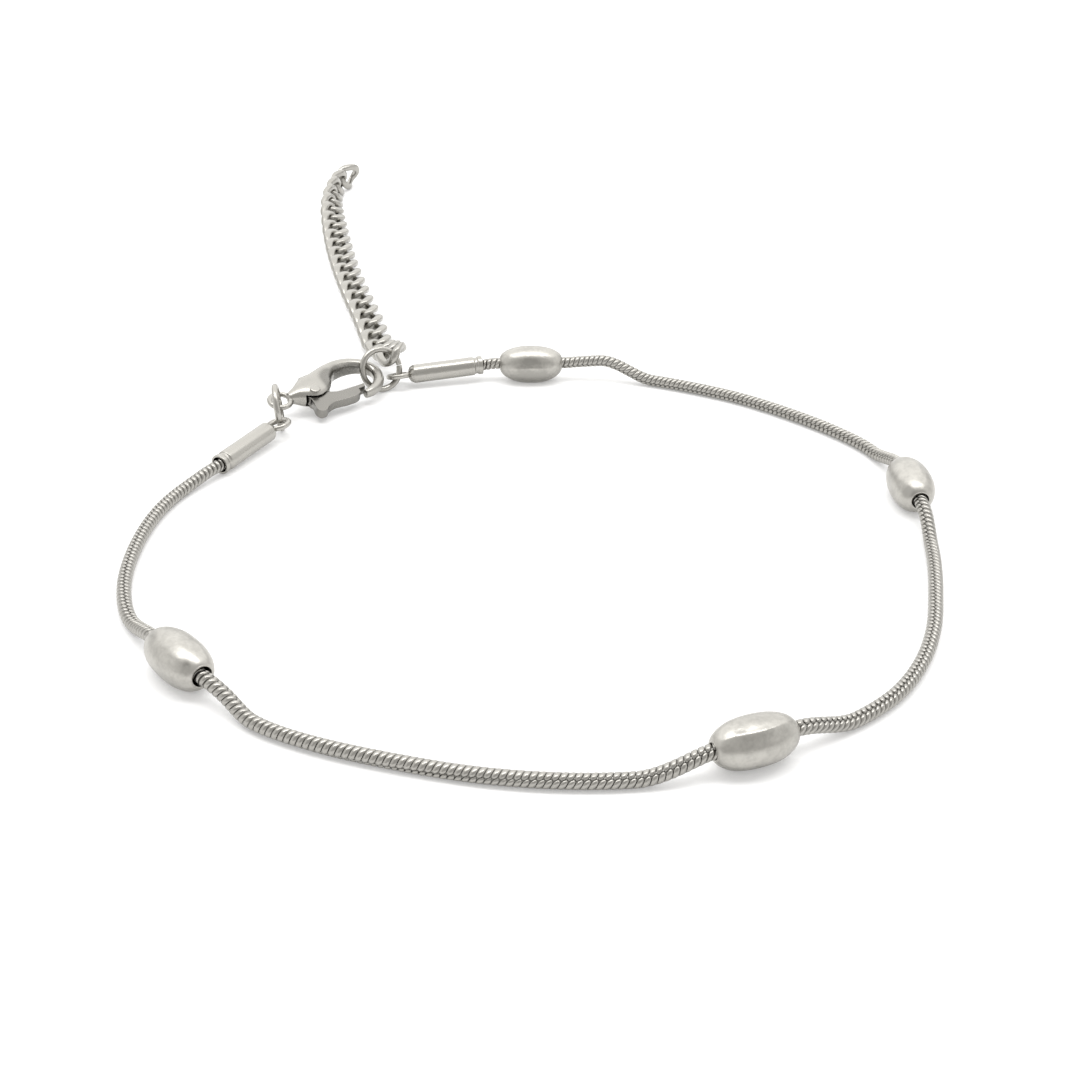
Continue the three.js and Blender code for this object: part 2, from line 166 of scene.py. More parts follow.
# The extension chain's way: plan place, height, and turn of the links from flat to on edge.
EXTENSION = np.array([
    (-12.32, 26.13, 2.78, -30),
    (-12.88, 28.15, 2.2, -20),
    (-13.6, 30.3, 1.5, -8),
    (-14.4, 32.9, 0.9, 0),
    (-15.8, 38.5, 0.8, 0),
    (-17.45, 44.4, 0.8, 0),
    (-19.3, 51.5, 0.8, 0),
    (-20.8, 58.2, 0.8, 0),
    (-21.95, 64.2, 0.98, 15),
    (-22.85, 69.8, 1.26, 40),
    (-23.15, 74.8, 1.42, 70),
    (-22.8, 78.8, 1.45, 90),
    (-21.6, 81.1, 1.45, 90),
    (-19.7, 80.9, 1.45, 90),
])
LINKS_IN_STRETCH = (3, 3, 3, 3, 3, 4, 4)

# Where the middle of the first link lies along that way, and the solids' steps from link to
# link, inside a stretch and from one stretch to the next.
FIRST_LINK = 0.81
LINK_STEP = 2.62
STRETCH_STEP = 2.2

# How far the two seams of the snake chain are turned round it, in degrees from its outer side
# up: distance past the middle of the bead that is named, and the turn there.
SEAM_TURNS = (
    ("left", -34.0, -120.0), ("left", 2.8, -60.0), ("left", 11.0, -45.0),
    ("left", 16.4, -20.0), ("left", 18.4, -4.0), ("left", 21.6, 15.0),
    ("left", 22.9, 22.0), ("front", -12.2, 42.0), ("front", -9.0, 51.0),
    ("front", -5.1, 50.0), ("front", -3.3, 56.0), ("front", 3.0, 61.0),
    ("front", 11.0, 72.0), ("front", 18.0, 98.0), ("right", 0.0, 140.0), ("back", 0.0, 220.0),
    ("back", 12.0, 240.0),
)


# ------------------------------------------------------------------ curves and placing

def unit(vectors):
    """Each vector over its own length."""
    return vectors / np.linalg.norm(vectors, axis=-1, keepdims=True)


def spline(points, per_span):
    """Centripetal Catmull-Rom curve through the points: on each span a cubic whose end slopes are
    the slopes of the neighbouring chords, weighted by the square roots of the chords' lengths."""
    p = np.asarray(points, float)
    p = np.vstack([2 * p[0] - p[1], p, 2 * p[-1] - p[-2]])
    root = np.sqrt(np.linalg.norm(np.diff(p, axis=0), axis=1))[:, None]
    a, b, c = root[:-2], root[1:-1], root[2:]
    p0, p1, p2, p3 = p[:-3], p[1:-2], p[2:-1], p[3:]
    leave = ((p1 - p0) / a - (p2 - p0) / (a + b) + (p2 - p1) / b) * b
    arrive = ((p2 - p1) / b - (p3 - p1) / (b + c) + (p3 - p2) / c) * b
    t = np.linspace(0, 1, per_span, endpoint=False)[None, :, None]
    curve = (
        (2 * t**3 - 3 * t**2 + 1) * p1[:, None]
        + (t**3 - 2 * t**2 + t) * leave[:, None]
        + (3 * t**2 - 2 * t**3) * p2[:, None]
        + (t**3 - t**2) * arrive[:, None]
    )
    return np.vstack([curve.reshape(-1, p.shape[1]), p[-2]])


class Route:
    """A way through space that is asked by distance: places, and the frame across it."""

    def __init__(self, points):
        self.points = np.asarray(points, float)
        steps = np.linalg.norm(np.diff(self.points, axis=0), axis=1)
        self.distance = np.concatenate([[0.0], np.cumsum(steps)])
        self.length = self.distance[-1]

    def place(self, s):
        """The point at distance s, between the two nearest points of the way."""
        return np.stack([np.interp(s, self.distance, axis) for axis in self.points.T], axis=-1)

    def frame(self, s, reach=0.15):
        """Along, out and up at distance s: along joins the places just behind and ahead, out is
        along crossed with the vertical, and up is out crossed with along."""
        along = unit(self.place(s + reach) - self.place(s - reach))
        out = unit(np.cross(along, (0.0, 0.0, 1.0)))
        return along, out, np.cross(out, along)

    def nearest(self, plan):
        """The distance at which the way passes closest to a plan point."""
        away = np.linalg.norm(self.points[:, :2] - np.asarray(plan), axis=1)
        return self.distance[np.argmin(away)]


def ahead(at, heading, distance):
    """The plan point that lies a distance ahead in a heading, in degrees."""
    angle = np.radians(heading)
    return np.array(at) + distance * np.array([np.cos(angle), np.sin(angle)])


def placed(points, at, heading, pitch=0.0, turn=0.0):
    """Points about their own +X, turned about it, pitched up, headed in plan and moved to at."""
    h, p, t = np.radians([heading, pitch, turn])
    roll = np.array([[1, 0, 0], [0, np.cos(t), -np.sin(t)], [0, np.sin(t), np.cos(t)]])
    tip = np.array([[np.cos(p), 0, -np.sin(p)], [0, 1, 0], [np.sin(p), 0, np.cos(p)]])
    yaw = np.array([[np.cos(h), -np.sin(h), 0], [np.sin(h), np.cos(h), 0], [0, 0, 1]])
    return points @ (yaw @ tip @ roll).T + np.asarray(at, float)


def smooth(t):
    """Eases from 0 to 1: 3 t squared less 2 t cubed, with t kept between 0 and 1."""
    t = np.clip(t, 0.0, 1.0)
    return t * t * (3 - 2 * t)


def squarish(wave, corner):
    """A sine or cosine made squarer: its sign times its size to the power of corner."""
    return np.sign(wave) * np.abs(wave) ** corner


def chain_route(lie, rise):
    """The chain's axis: a spline through the plan points, at height lie on the table, that eases
    up within a distance rise of the arch, a bead or a cap to the height of the axis there."""
    inside = CAP_BORE_DEPTH - CHAIN_END_GAP
    left, right = CAPS["left"], CAPS["right"]
    plan = [ahead(left[0], left[1], inside), left[0]]
    for stretch, (middle, heading, _) in zip(STRETCHES, BEADS.values()):
        plan.extend(stretch)
        plan.extend(ahead(middle, heading, step * BEAD_HALF_LENGTH) for step in (-1, 0, 1))
    plan.extend([right[0], ahead(right[0], right[1], inside)])
    way = spline(np.array([tuple(point) for point in plan]), 60)
    raised = [ARCH]
    for middle, heading, _ in BEADS.values():
        ends = [ahead(middle, heading, step * BEAD_HALF_LENGTH) for step in (-1, 1)]
        raised.append((*ends, BEAD_AXIS_HEIGHT, BEAD_AXIS_HEIGHT))
    for mouth, heading, low, high, _ in CAPS.values():
        top = low + (high - low) * CAP_BORE_DEPTH / CAP_LENGTH
        raised.append((mouth, ahead(mouth, heading, CAP_BORE_DEPTH), low, top))
    heights = []
    for start, end, low, high in raised:
        run = np.subtract(end, start)
        t = np.clip((way - start) @ run / (run @ run), 0, 1)
        away = np.linalg.norm(way - start - t[:, None] * run, axis=1)
        heights.append(lie + (low + (high - low) * t - lie) * smooth(1 - away / rise))
    return Route(np.column_stack([way, np.max(heights, axis=0)]))


# ------------------------------------------------------------------ meshes

def grid_faces(rows, columns, wrap_rows=False):
    """Four corners of each cell of a rows by columns grid of points, whose rows go round."""
    i = np.arange(rows if wrap_rows else rows - 1)[:, None]
    j = np.arange(columns)[None, :]
    i2, j2 = (i + 1) % rows, (j + 1) % columns
    cells = np.stack(np.broadcast_arrays(
        i * columns + j, i * columns + j2, i2 * columns + j2, i2 * columns + j), axis=-1)
    return cells.reshape(-1, 4)


def surface(points, wrap_rows=False, closed_ends=True):
    """Corners and faces of many like skins at once. points is copies x rows x columns x 3, and
    each row goes round. Open ends are closed by a fan to the middle of the end row."""
    copies, rows, columns, _ = points.shape
    corners = points.reshape(copies, rows * columns, 3)
    quads = grid_faces(rows, columns, wrap_rows)
    tris = np.zeros((0, 3), int)
    if closed_ends and not wrap_rows:
        hubs = points[:, [0, -1]].mean(axis=2)
        corners = np.concatenate([corners, hubs], axis=1)
        j = np.arange(columns)
        k = (j + 1) % columns
        last = (rows - 1) * columns
        near = np.stack([np.full(columns, rows * columns), k, j], axis=-1)
        far = np.stack([np.full(columns, rows * columns + 1), last + j, last + k], axis=-1)
        tris = np.concatenate([near, far])
    each = corners.shape[1]
    shift = (np.arange(copies) * each)[:, None, None]
    return corners.reshape(-1, 3), (quads + shift).reshape(-1, 4), (tris + shift).reshape(-1, 3)


def joined(*skins):
    """Several skins as one: corners and faces one after another."""
    corners, quads, tris, start = [], [], [], 0
    for points, fours, threes in skins:
        corners.append(points)
        quads.append(fours + start)
        tris.append(threes + start)
        start += len(points)
    return np.concatenate(corners), np.concatenate(quads), np.concatenate(tris)


def turned_out(corners, quads, tris):
    """The same faces, all reversed if the skin holds a negative volume."""
    parts = np.concatenate([quads[:, [0, 1, 2]], quads[:, [0, 2, 3]], tris])
    a, b, c = (corners[parts[:, n]] for n in range(3))
    if np.einsum("ij,ij->i", a, np.cross(b, c)).sum() < 0:
        return corners, quads[:, ::-1], tris[:, ::-1]
    return corners, quads, tris


def make_object(name, skin):
    """A mesh object at the origin, from corners in millimetres about the loop's middle and from
    four-sided and three-sided faces."""
    corners, quads, tris = skin
    placed_corners = (corners + np.append(LOOP_CENTRE, 0.0)) * MM
    mesh = bpy.data.meshes.new(name)
    mesh.vertices.add(len(corners))
    mesh.vertices.foreach_set("co", placed_corners.astype(np.float32).ravel())
    loops = np.concatenate([quads.ravel(), tris.ravel()]).astype(np.int32)
    sizes = np.concatenate([np.full(len(quads), 4), np.full(len(tris), 3)])
    starts = np.concatenate([[0], np.cumsum(sizes)[:-1]]).astype(np.int32)
    mesh.loops.add(len(loops))
    mesh.loops.foreach_set("vertex_index", loops)
    mesh.polygons.add(len(sizes))
    mesh.polygons.foreach_set("loop_start", starts)
    mesh.update(calc_edges=True)
    mesh.validate()
    piece = bpy.data.objects.new(name, mesh)
    bpy.context.scene.collection.objects.link(piece)
    return piece


def shade(piece, sharp=None):
    """Smooth faces, with a hard edge where two faces meet at more than an angle in degrees."""
    mesh = piece.data
    mesh.polygons.foreach_set("use_smooth", np.ones(len(mesh.polygons), bool))
    if sharp:
        mesh.set_sharp_from_angle(angle=np.radians(sharp))


def note(piece, name, values):
    """Keeps one number a corner as an attribute that a material can read."""
    attribute = piece.data.attributes.new(name, "FLOAT", "POINT")
    attribute.data.foreach_set("value", np.asarray(values, np.float32).ravel())


def bake_modifiers(piece):
    """Makes the modifiers' result the piece's own mesh."""
    graph = bpy.context.evaluated_depsgraph_get()
    made = bpy.data.meshes.new_from_object(piece.evaluated_get(graph))
    piece.modifiers.clear()
    old = piece.data
    piece.data = made
    bpy.data.meshes.remove(old)


def fuse(piece, voxel, rounds):
    """One even skin over shells that run into each other, with corners eased by smoothing."""
    remesh = piece.modifiers.new("fuse", "REMESH")
    remesh.mode = "VOXEL"
    remesh.voxel_size = voxel * MM
    ease = piece.modifiers.new("ease", "SMOOTH")
    ease.factor = 0.5
    ease.iterations = rounds
    bake_modifiers(piece)


def dress(piece, material, slot, body, *nodes):
    """Gives a piece its finish, its body and the solids that it stands for, and stops the script
    if it doesn't lie where those solids do."""
    slack = 0.35 * MM
    piece.data.materials.clear()
    piece.data.materials.append(material)
    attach(piece, body)
    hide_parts(*nodes)
    corners = np.empty(len(piece.data.vertices) * 3)
    piece.data.vertices.foreach_get("co", corners)
    corners = corners.reshape(-1, 3)
    boxes = np.array([[list(corner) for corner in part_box(node)] for node in nodes])
    low, high = boxes[:, 0].min(axis=0), boxes[:, 1].max(axis=0)
    over = max((low - corners.min(axis=0)).max(), (corners.max(axis=0) - high).max())
    if over > slack:
        raise RuntimeError(f"{piece.name} lies {over / MM:.2f} mm outside {', '.join(nodes)}")


# ------------------------------------------------------------------ finishes

class Value:
    """A number in a shader. Arithmetic on it adds Math nodes."""

    def __init__(self, shader, socket):
        self.shader = shader
        self.socket = socket

    def _with(self, operation, first, second, clamp=False):
        settings = {"operation": operation, "use_clamp": clamp}
        return self.shader.node("ShaderNodeMath", settings, {0: first, 1: second}).value("Value")

    def __add__(self, other):
        return self._with("ADD", self, other)

    def __radd__(self, other):
        return self._with("ADD", other, self)

    def __sub__(self, other):
        return self._with("SUBTRACT", self, other)

    def __rsub__(self, other):
        return self._with("SUBTRACT", other, self)

    def __mul__(self, other):
        return self._with("MULTIPLY", self, other)

    def __rmul__(self, other):
        return self._with("MULTIPLY", other, self)

    def clamped(self):
        """The same number, kept between 0 and 1."""
        return self._with("ADD", self, 0.0, clamp=True)


class Made:
    """A node that was added, whose outputs are asked by name."""

    def __init__(self, shader, node):
        self.shader = shader
        self.node = node

    def value(self, name):
        return Value(self.shader, self.node.outputs[name])


class Shader:
    """A material's node tree, started with its surface shader."""

    def __init__(self, name):
        self.material = bpy.data.materials.new(name)
        self.material.use_nodes = True
        self.tree = self.material.node_tree
        self.surface = self.tree.nodes["Principled BSDF"]

    def node(self, kind, settings=None, sockets=None):
        """Adds a node: its settings first, then numbers or links for its sockets."""
        node = self.tree.nodes.new(kind)
        for name, setting in (settings or {}).items():
            setattr(node, name, setting)
        for name, given in (sockets or {}).items():
            self.feed(node.inputs[name], given)
        return Made(self, node)

    def feed(self, socket, given):
        """Links a value to a socket, or sets a plain number or colour on it."""
        if isinstance(given, Value):
            self.tree.links.new(given.socket, socket)
        else:
            socket.default_value = given

    def noise(self, scale, detail):
        """Noise from 0 to 1 on Object coordinates, with scale cells a metre."""
        place = self.node("ShaderNodeTexCoord").value("Object")
        sockets = {"Vector": place, "Scale": scale, "Detail": detail}
        return self.node("ShaderNodeTexNoise", {}, sockets).value("Fac")

    def attribute(self, name):
        """A number that was noted at each corner of the piece."""
        return self.node("ShaderNodeAttribute", {"attribute_name": name}).value("Fac")

    def mix(self, factor, low, high):
        """A colour between two colours."""
        sockets = {"Factor": factor, 6: low, 7: high}
        return self.node("ShaderNodeMix", {"data_type": "RGBA"}, sockets).value(2)

    def bump(self, height, distance, strength):
        """A normal from a height of 0 to 1, where 1 stands a distance in metres above 0."""
        sockets = {"Height": height, "Distance": distance, "Strength": strength}
        return self.node("ShaderNodeBump", {}, sockets).value("Normal")


# How the finishes are worn and shaded: share by which the colour is darker at most, with wear
# and with painted shade in recesses, cells of grain a metre, depth of the wear's relief in
# millimetres, and how strongly wear mottles the colour.
CHAIN_WEAR_AND_SHADE = {"dark_share": 0.42, "grain": 9000.0, "depth": 0.006, "mottle": 1.0}
BEAD_WEAR_AND_SHADE = {"dark_share": 0.3, "grain": 4500.0, "depth": 0.03, "mottle": 4.5}
FITTING_WEAR = {"dark_share": 0.3, "grain": 7000.0, "depth": 0.004, "mottle": 1.0}
CLASP_WEAR_AND_SHADE = FITTING_WEAR | {"dark_share": 0.5}
CURB_WEAR = FITTING_WEAR | {"dark_share": 0.35}
CLOUD_CELLS = 1100.0


def steel(name, colour, roughness, dark_share, grain, depth, mottle, painted_shade=False):
    """Satin steel. Soft clouds of wear and a fine grain vary its roughness, its colour and its
    bump. Its colour is darker by dark_share times a tint from 0 to 1: about a quarter, more or
    less with the wear, and full in recesses, where painted shade from the piece's attribute darkens
    it as shade would."""
    shader = Shader(name)
    cloud = shader.noise(CLOUD_CELLS, 3.0)
    fine = shader.noise(grain, 4.0)
    worn = (cloud - 0.5) * 0.35 + (fine - 0.5) * 0.25
    tint = (worn * mottle + 0.25).clamped()
    # Painted shade: the noted attribute darkens the colour in recesses, hollows, grooves and
    # undersides.
    if painted_shade:
        tint = (tint + shader.attribute("painted_shade")).clamped()
    dark = [channel * (1 - dark_share) for channel in colour]
    inputs = shader.surface.inputs
    shader.feed(inputs["Base Color"], shader.mix(tint, [*colour, 1.0], [*dark, 1.0]))
    shader.feed(inputs["Roughness"], (worn * 0.22 + roughness).clamped())
    shader.feed(inputs["Normal"], shader.bump(fine * 0.6 + cloud * 0.4, depth * MM, 0.5))
    inputs["Metallic"].default_value = 1.0
    return shader.material


# ------------------------------------------------------------------ settings

def length_property(name, description, default):
    """A length property in metres whose default is given in millimetres."""
    return bpy.props.FloatProperty(
        name=name, description=description, default=default * MM, unit="LENGTH")


def colour_property(name, description, default):
    """A colour property with three channels from 0 to 1."""
    return bpy.props.FloatVectorProperty(
        name=name, description=description, default=default, subtype="COLOR", size=3,
        min=0, max=1)


def share_property(name, description, default):
    """A property from 0 to 1."""
    return bpy.props.FloatProperty(
        name=name, description=description, default=default, subtype="FACTOR", min=0, max=1)


def amount_property(name, description, default):
    """A property that isn't below 0."""
    return bpy.props.FloatProperty(name=name, description=description, default=default, min=0)


class BraceletSizes(bpy.types.PropertyGroup):
    chain_radius: length_property("Chain radius", "Half of the snake chain's thickness", 0.5)
    chain_lie: length_property("Chain height", "Height of the chain's axis over the table", 0.51)
    chain_rise: length_property("Chain rise", "How far from a bead the chain starts to rise", 4.6)
    scale_pitch: length_property(
        "Scale pitch", "Distance from one scale of the chain to the next", 0.425)
    bead_width: length_property("Bead half width", "From a bead's axis to its side", 1.62)
    bead_height: length_property("Bead half height", "From a bead's axis to its top", 1.55)
    cap_radius: length_property("Cap radius", "Half of an end cap's thickness", 0.8)
    eye_radius: length_property("Eye radius", "Radius of the eyes of the caps and clasp", 0.86)
    eye_wire: length_property("Eye wire", "Half of the thickness of an eye's wire", 0.23)
    ring_radius: length_property(
        "Ring radius", "Radius of a jump ring to the middle of its wire", 1.7)
    ring_wire: length_property("Ring wire", "Half of the thickness of a jump ring's wire", 0.26)
    link_length: length_property("Link length", "Length of a curb link over all", 3.8)
    link_width: length_property("Link width", "Width of a curb link over all", 2.86)
    link_wire: length_property("Link wire", "Half of the thickness of a curb link's wire", 0.38)


class BraceletFinish(bpy.types.PropertyGroup):
    chain_colour: colour_property("Chain", "Colour of the snake chain's steel", (0.42, 0.408, 0.38))
    bead_colour: colour_property(
        "Beads", "Colour of the beads' tumbled steel", (0.47, 0.457, 0.425))
    fitting_colour: colour_property(
        "Fittings", "Colour of the caps, rings and clasp", (0.43, 0.418, 0.388))
    # Painted shade: the lever is the fittings' steel made darker, for the dark reflections and
    # shadow it shows.
    lever_shaded_colour: colour_property("Lever", "Colour of the clasp's lever", (0.26, 0.252, 0.234))
    extension_colour: colour_property(
        "Extension", "Colour of the extension chain", (0.4, 0.389, 0.361))
    chain_roughness: share_property("Chain roughness", "Roughness of the snake chain", 0.3)
    bead_roughness: share_property("Bead roughness", "Roughness of the beads", 0.36)
    fitting_roughness: share_property(
        "Fitting roughness", "Roughness of caps, rings, clasp and extension", 0.28)


class BraceletStage(bpy.types.PropertyGroup):
    camera_height: length_property("Camera height", "Height of the lens over the table", 55.5)
    camera_tilt: bpy.props.FloatProperty(
        name="Camera tilt", description="How far the camera looks down",
        default=np.radians(31.0), subtype="ANGLE")
    lens: amount_property("Lens", "Focal length in millimetres on a 36 mm wide sensor", 49.93)
    back_radiance: amount_property("Back panel", "Radiance of the large soft panel behind", 1.05)
    side_radiance: amount_property("Side panels", "Radiance of the soft panels at both sides", 0.5)
    strip_radiance: amount_property("Top strip", "Radiance of the soft strip overhead", 5.0)
    room_light: amount_property("Room light", "Strength of the light from all round", 0.72)
    floor_glow: amount_property(
        "Floor glow", "Light of the floor's own, as of a lit white table", 0.25)


def sizes_in_mm():
    """The sizes that the sidebar shows, by name, in millimetres."""
    sizes = bpy.context.scene.bracelet_sizes
    names = BraceletSizes.__annotations__
    return {name: getattr(sizes, name) / MM for name in names}


# ------------------------------------------------------------------ snake chain

# How far from the two ends of the chain's way its first and last scales lie, inside the caps.
SCALES_START = 0.2
SCALES_STOP = 0.5


def seam_angle(route, s):
    """Turn of the front seam at distance s, in radians, eased between the places in SEAM_TURNS."""
    middles = {name: route.nearest(place[0]) for name, place in BEADS.items()}
    at = [middles[bead] + past for bead, past, _ in SEAM_TURNS]
    return np.radians(np.interp(s, at, [turn for *_, turn in SEAM_TURNS]))


def scales(route, size, start, end):
    """Two rows of scales from start to end, one on each side of the front seam. A scale is a
    pillow of metal bent half round the chain. Where its turn from the seam is t, and from its own
    middle d, it lies radius * (slant * t + swing * sin t + lean * (root(d squared + bend squared)
    - bend)) further along. Its half width is wide * (1 - x squared) ^ blunt, with x running from 0
    to 1 over the taper before its tip, its section is a rounded oblong, and its tips dip. The
    slant carries each row on by two pitches in a whole turn. The second row is half a pitch on
    from the first, so the tips of both mesh in the two seams. Painted shade rises from 0 where the
    metal is less than rub below the chain's skin to 1 at the depth of hollow more, darkening the
    hollows between the scales where shade falls."""
    rows, columns = 25, 8
    radius, pitch = size["chain_radius"], size["scale_pitch"]
    reach, taper, last = np.radians(98.8), np.radians(44.0), 0.9995
    slant, swing, lean, bend = pitch / (np.pi * radius), 0.12, 0.06, 0.3
    wide, blunt, thick, dip, corner = 0.484 * pitch, 0.6, 0.13, 0.035, 0.45
    rub, hollow = 0.02, 1.1 * thick
    first = np.ceil(start / pitch) * pitch
    steps = np.arange(first, end, pitch)
    d = reach * np.sin(np.linspace(-1, 1, rows) * np.pi / 2) * last
    x = np.clip((np.abs(d) - reach + taper) / taper, 0, 1)
    half_width = wide * (1 - x**2) ** blunt
    half_thick = thick * np.sqrt(1 - x**2)
    round_angle = TAU * np.arange(columns) / columns
    along = squarish(np.cos(round_angle), corner)
    proud = squarish(np.sin(round_angle), corner)
    skins, painted_shade = [], []
    for family, side in enumerate((1, -1)):
        middle = steps + family * pitch / 2
        t = d + side * np.pi / 2
        chevron = lean * (np.sqrt(d**2 + bend**2) - bend)
        forward = radius * (slant * t + swing * np.sin(t) + chevron)
        s = middle[:, None, None] + forward[None, :, None] + half_width[None, :, None] * along
        r = radius - thick - dip * (x**2)[None, :, None] + half_thick[None, :, None] * proud
        r = np.broadcast_to(r, s.shape)
        turn = seam_angle(route, middle)[:, None, None] + t[None, :, None]
        _, out, up = route.frame(s)
        across = np.cos(turn)[..., None] * out + np.sin(turn)[..., None] * up
        points = route.place(s) + r[..., None] * across
        skins.append(surface(points))
        # Painted shade: darker colour deeper in the hollows between scales, and full at the hubs.
        deep = np.clip((radius - rub - r) / hollow, 0, 1)
        hubs = np.ones((len(middle), 2))
        painted_shade.append(np.concatenate([deep.reshape(len(middle), -1), hubs], axis=1).ravel())
    return joined(*skins), np.concatenate(painted_shade)


def core(route, size, start, end):
    """The inner tube that shows between the scales, painted dark all over as shade: a circle
    carried along the way.
    """
    thickness, step, sides = 0.74, 0.5, 10
    s = np.linspace(start, end, max(int((end - start) / step), 2))[:, None]
    angle = TAU * np.arange(sides)[None, :] / sides
    s = s + 0 * angle
    _, out, up = route.frame(s)
    across = np.cos(angle)[..., None] * out + np.sin(angle)[..., None] * up
    points = route.place(s) + thickness * size["chain_radius"] * across
    return surface(points[None])


class BRACELET_OT_snake_chain(bpy.types.Operator):
    """Builds the snake chain in five stretches from bead to bead"""

    bl_idname = "bracelet.snake_chain"
    bl_label = "Snake Chain"

    def execute(self, context):
        size = sizes_in_mm()
        finish = context.scene.bracelet_finish
        metal = steel(
            "snake_chain_satin", finish.chain_colour, finish.chain_roughness, **CHAIN_WEAR_AND_SHADE,
            painted_shade=True)
        route = chain_route(size["chain_lie"], size["chain_rise"])
        beads = [route.nearest(middle) for middle, _, _ in BEADS.values()]
        cuts = [SCALES_START, *beads, route.length - SCALES_STOP]
        names = ("chain_far_left", "chain_front", "chain_right", "chain_back", "chain_clasp_end")
        for name, start, end in zip(names, cuts[:-1], cuts[1:]):
            links, painted_shade = scales(route, size, start, end)
            inner = core(route, size, start, end)
            piece = make_object(name, joined(links, inner))
            # Painted shade: the scales get it in their hollows, the inner tube gets it in full.
            note(piece, "painted_shade", np.concatenate([painted_shade, np.ones(len(inner[0]))]))
            shade(piece)
            dress(piece, metal, "snake_chain_steel", BODY, "snake_chain")
        return {"FINISHED"}


# ------------------------------------------------------------------ beads

# What is worn off a nugget, or stands proud below zero, and the painted shade there: depth,
# painted shade, middle in degrees round the chain from the side away from the wrist, how much
# that middle moves on towards both ends, spread in degrees, and middle and spread along the
# nugget, whose ends are -1 and 1. The painted shade darkens the grooves, where they show dark
# reflections, and the underside, which faces the shaded table.
BEAD_RELIEF_AND_SHADE = (
    (0.05, 0.4, 42, 14, 13, 0.1, 0.62),
    (-0.075, 0.0, 55.5, 20, 7, 0.0, 0.8),
    (0.0, 0.35, 84, 0, 12, 0.1, 0.5),
    (0.05, 0.2, 112, 0, 40, 0.3, 0.6),
    (0.1, 0.5, 165, 0, 26, 0.1, 0.7),
    (0.12, 1.0, -56, 0, 24, -0.1, 0.8),
)

# Each nugget's own marks: how much of the relief and its painted shade it has, the radius of its
# hole, and dents with painted shade in the relief's terms that aren't turned with it. Rows with no
# depth are painted shade alone, as the back nugget's darker lower side.
NUGGETS = {
    "left": (0.35, 0.67, ((0.1, 1.0, 54, 0, 9, 0.84, 0.07),)),
    "front": (1.0, 0.505, ((0.025, 1.6, 74, 0, 8, -0.47, 0.11),)),
    "right": (0.35, 0.62, (
        (0.04, 0.5, 84, 0, 14, -0.66, 0.12),
        (0.08, 2.0, 150, 0, 24, -0.87, 0.12),
    )),
    "back": (0.5, 0.53, (
        (0.07, 1.5, 152, 0, 9, 0.0, 0.25),
        (0.0, 0.9, 204, 0, 26, 0.0, 0.8),
    )),
}


def ripples(points, seed, waves, longest, shortest):
    """A quiet unevenness from -1 to 1: the mean of sine waves that run in seeded directions, each
    weighted by the square root of its length."""
    picks = np.random.default_rng(seed)
    ways = unit(picks.normal(size=(waves, 3)))
    lengths = np.geomspace(longest, shortest, waves)
    start = picks.uniform(0, TAU, waves)
    waves_at = np.sin(points @ (ways / lengths[:, None] * TAU).T + start)
    return (waves_at * np.sqrt(lengths)).sum(axis=-1) / np.sqrt(lengths).sum()


def bead_reach(s, angle, turn, share, dents_and_shade, rim, size):
    """Distance from the axis to a nugget's skin, and its painted shade. An ellipse whose half axes
    swell from the rim by (1 - |s| ^ blunt) ^ full, deeper under its belly, less a sum of smooth
    bells in angle and s. The same bells, weighted by their painted shade, darken the colour."""
    blunt, full, deeper = 2.3, 0.72, 1.14
    swell = (1 - np.abs(s) ** blunt) ** full
    tall = size["bead_height"] * np.where(np.sin(angle) < 0, deeper, 1.0)
    width = rim + (size["bead_width"] - rim) * swell
    height = rim + (tall - rim) * swell
    oval = 1 / np.hypot(np.cos(angle) / width, np.sin(angle) / height)
    worn, painted_bead_shade = 0.0, 0.0
    marks = [(share, turn, row) for row in BEAD_RELIEF_AND_SHADE] + [(1.0, 0.0, row) for row in dents_and_shade]
    for part, turned, (depth, painted_shade_weight, middle, bow, spread, along, reach) in marks:
        off = angle - np.radians(middle + bow * s**2 + turned)
        apart = np.arctan2(np.sin(off), np.cos(off)) / np.radians(spread)
        bell = part * np.exp(-(apart**2) - ((s - along) / reach) ** 2)
        worn = worn + depth * bell
        # Painted shade: each bell adds darkness to the colour, as in the grooves, dents and under
        # the nugget.
        painted_bead_shade = painted_bead_shade + painted_shade_weight * bell
    return oval - swell * worn, np.clip(painted_bead_shade, 0, 1)


